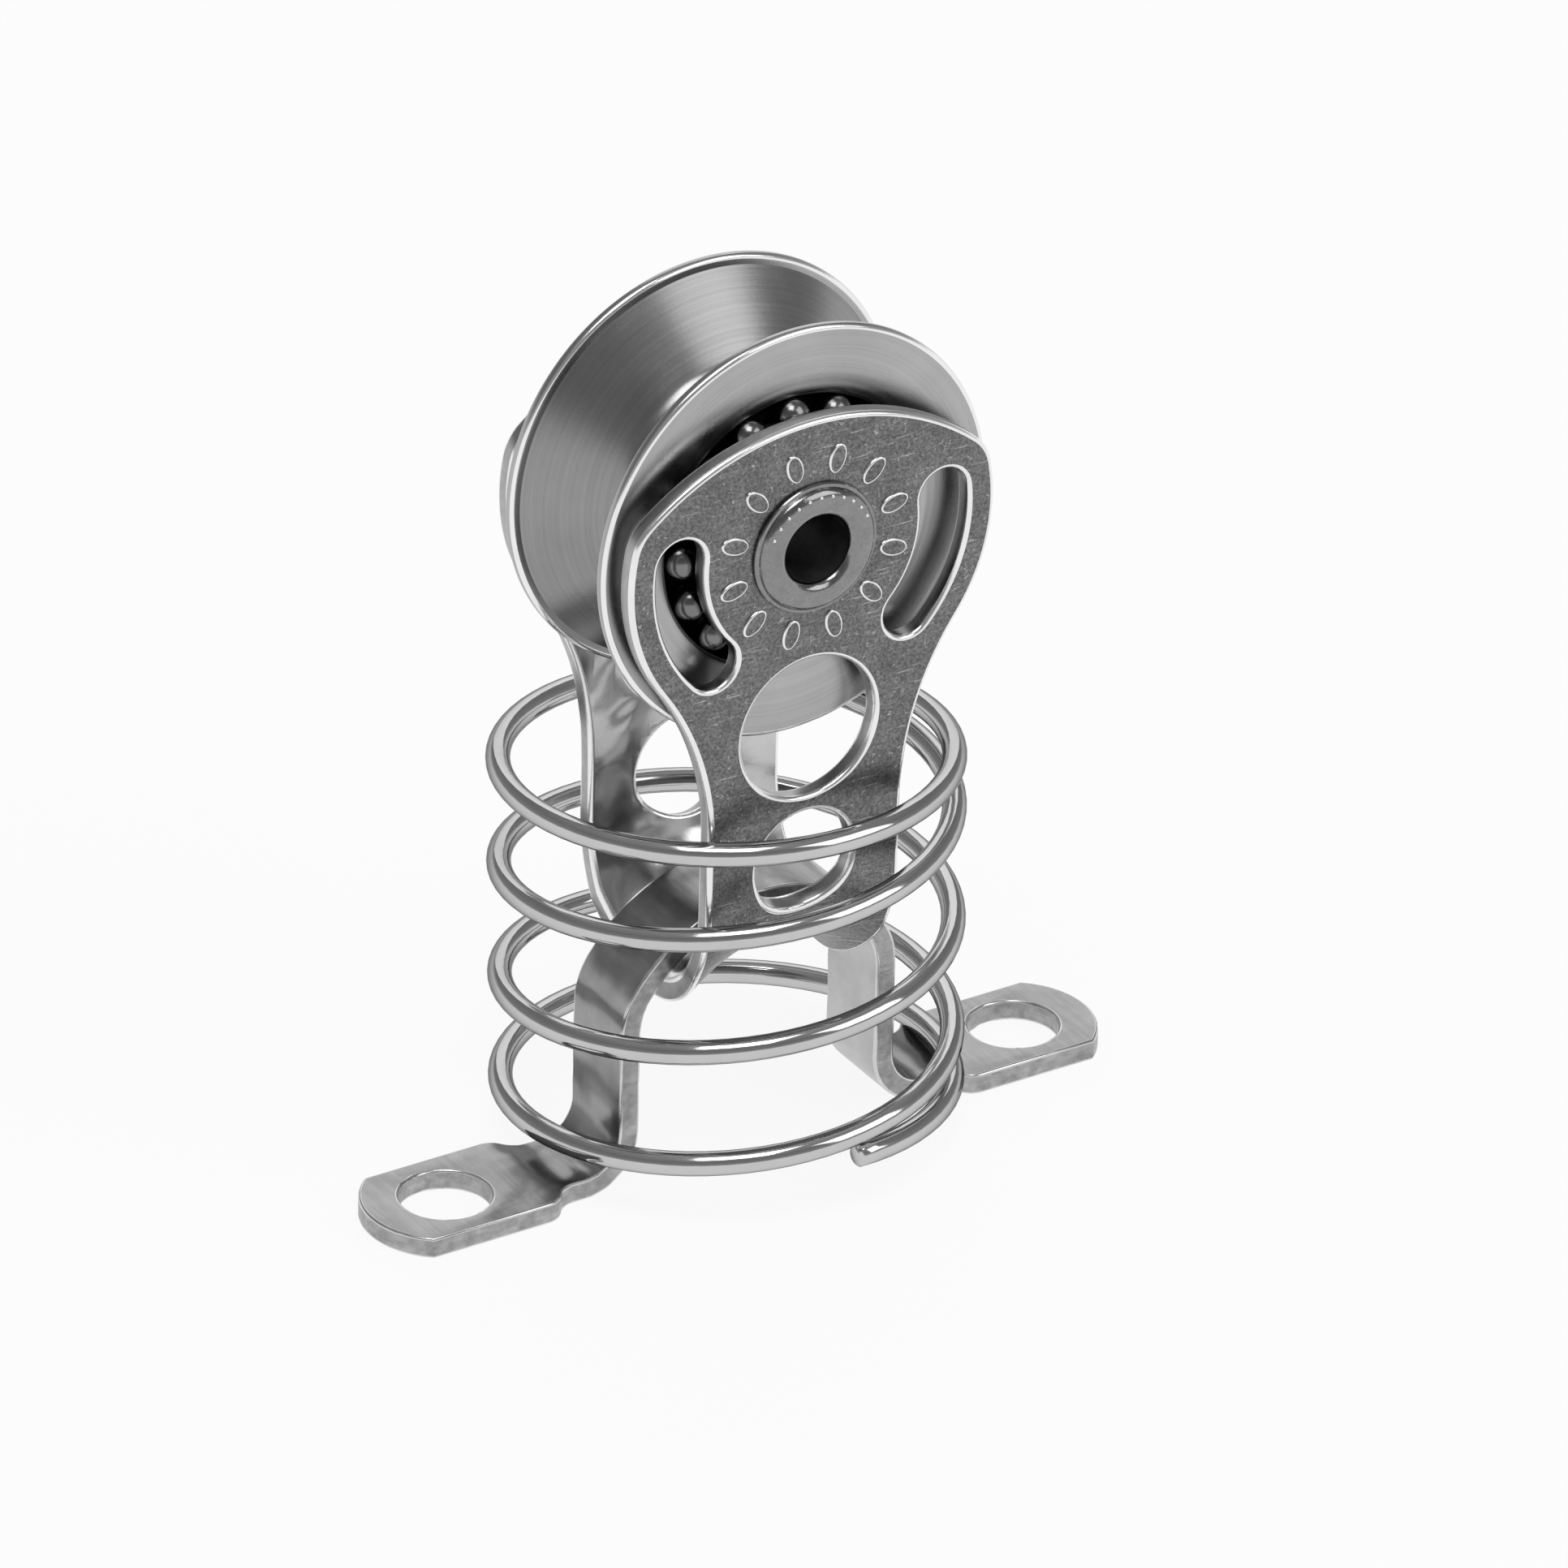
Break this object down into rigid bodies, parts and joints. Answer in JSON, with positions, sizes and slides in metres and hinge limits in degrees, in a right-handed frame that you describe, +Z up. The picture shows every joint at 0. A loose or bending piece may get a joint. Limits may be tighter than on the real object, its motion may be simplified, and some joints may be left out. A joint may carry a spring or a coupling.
{
  "type": "sailing block",
  "caption": "Stand-up sailing block: a grooved ball-bearing wheel in a forked sheet-steel housing, hooked under a bent deck bow and held upright by a coil spring.",
  "frame": {"origin": "on the deck, midway between the two foot holes of the mounting bow", "axes": "+X along the line of the two foot holes, +Y along the wheel's axle, +Z up from the deck"},
  "size_m": [0.0478, 0.0278, 0.0535],
  "materials": {
    "bow_steel": "satin",
    "housing_steel": "satin",
    "rivet_steel": "satin",
    "race_steel": "satin",
    "wheel_steel": "turned",
    "ball_steel": "polished",
    "spring_wire": "polished"
  },
  "bodies": {
    "base": {"mounting_bow": "bow_steel", "standing_spring": "spring_wire"},
    "block": {"housing": "housing_steel", "axle_rivet": "rivet_steel", "inner_race": "race_steel"},
    "wheel": {"sheave": "wheel_steel"},
    "near_balls": {"near_ball_01": "ball_steel", "near_ball_02": "ball_steel", "near_ball_03": "ball_steel", "near_ball_04": "ball_steel", "near_ball_05": "ball_steel", "near_ball_06": "ball_steel", "near_ball_07": "ball_steel", "near_ball_08": "ball_steel", "near_ball_09": "ball_steel", "near_ball_10": "ball_steel", "near_ball_11": "ball_steel", "near_ball_12": "ball_steel", "near_ball_13": "ball_steel", "near_ball_14": "ball_steel", "near_ball_15": "ball_steel", "near_ball_16": "ball_steel"},
    "far_balls": {"far_ball_01": "ball_steel", "far_ball_02": "ball_steel", "far_ball_03": "ball_steel", "far_ball_04": "ball_steel", "far_ball_05": "ball_steel", "far_ball_06": "ball_steel", "far_ball_07": "ball_steel", "far_ball_08": "ball_steel", "far_ball_09": "ball_steel", "far_ball_10": "ball_steel", "far_ball_11": "ball_steel", "far_ball_12": "ball_steel", "far_ball_13": "ball_steel", "far_ball_14": "ball_steel", "far_ball_15": "ball_steel", "far_ball_16": "ball_steel"}
  },
  "joints": [
    {"name": "block_tilt", "type": "hinge", "parent": "base", "child": "block", "pos_m": [0, 0, 0.0182], "axis": [1, 0, 0], "range_deg": [-18, 18], "stiffness_Nm_per_rad": 0.066, "deforming": ["standing_spring"]},
    {"name": "wheel_spin", "type": "hinge", "parent": "block", "child": "wheel", "pos_m": [0, 0, 0.04095], "axis": [0, 1, 0], "continuous": true},
    {"name": "near_balls_orbit", "type": "hinge", "parent": "block", "child": "near_balls", "pos_m": [0, 0, 0.04095], "axis": [0, 1, 0], "continuous": true},
    {"name": "far_balls_orbit", "type": "hinge", "parent": "block", "child": "far_balls", "pos_m": [0, 0, 0.04095], "axis": [0, 1, 0], "continuous": true}
  ],
  "couplings": [
    {"joint": "near_balls_orbit", "follows": "wheel_spin", "ratio": 0.5734},
    {"joint": "far_balls_orbit", "follows": "wheel_spin", "ratio": 0.5734}
  ]
}
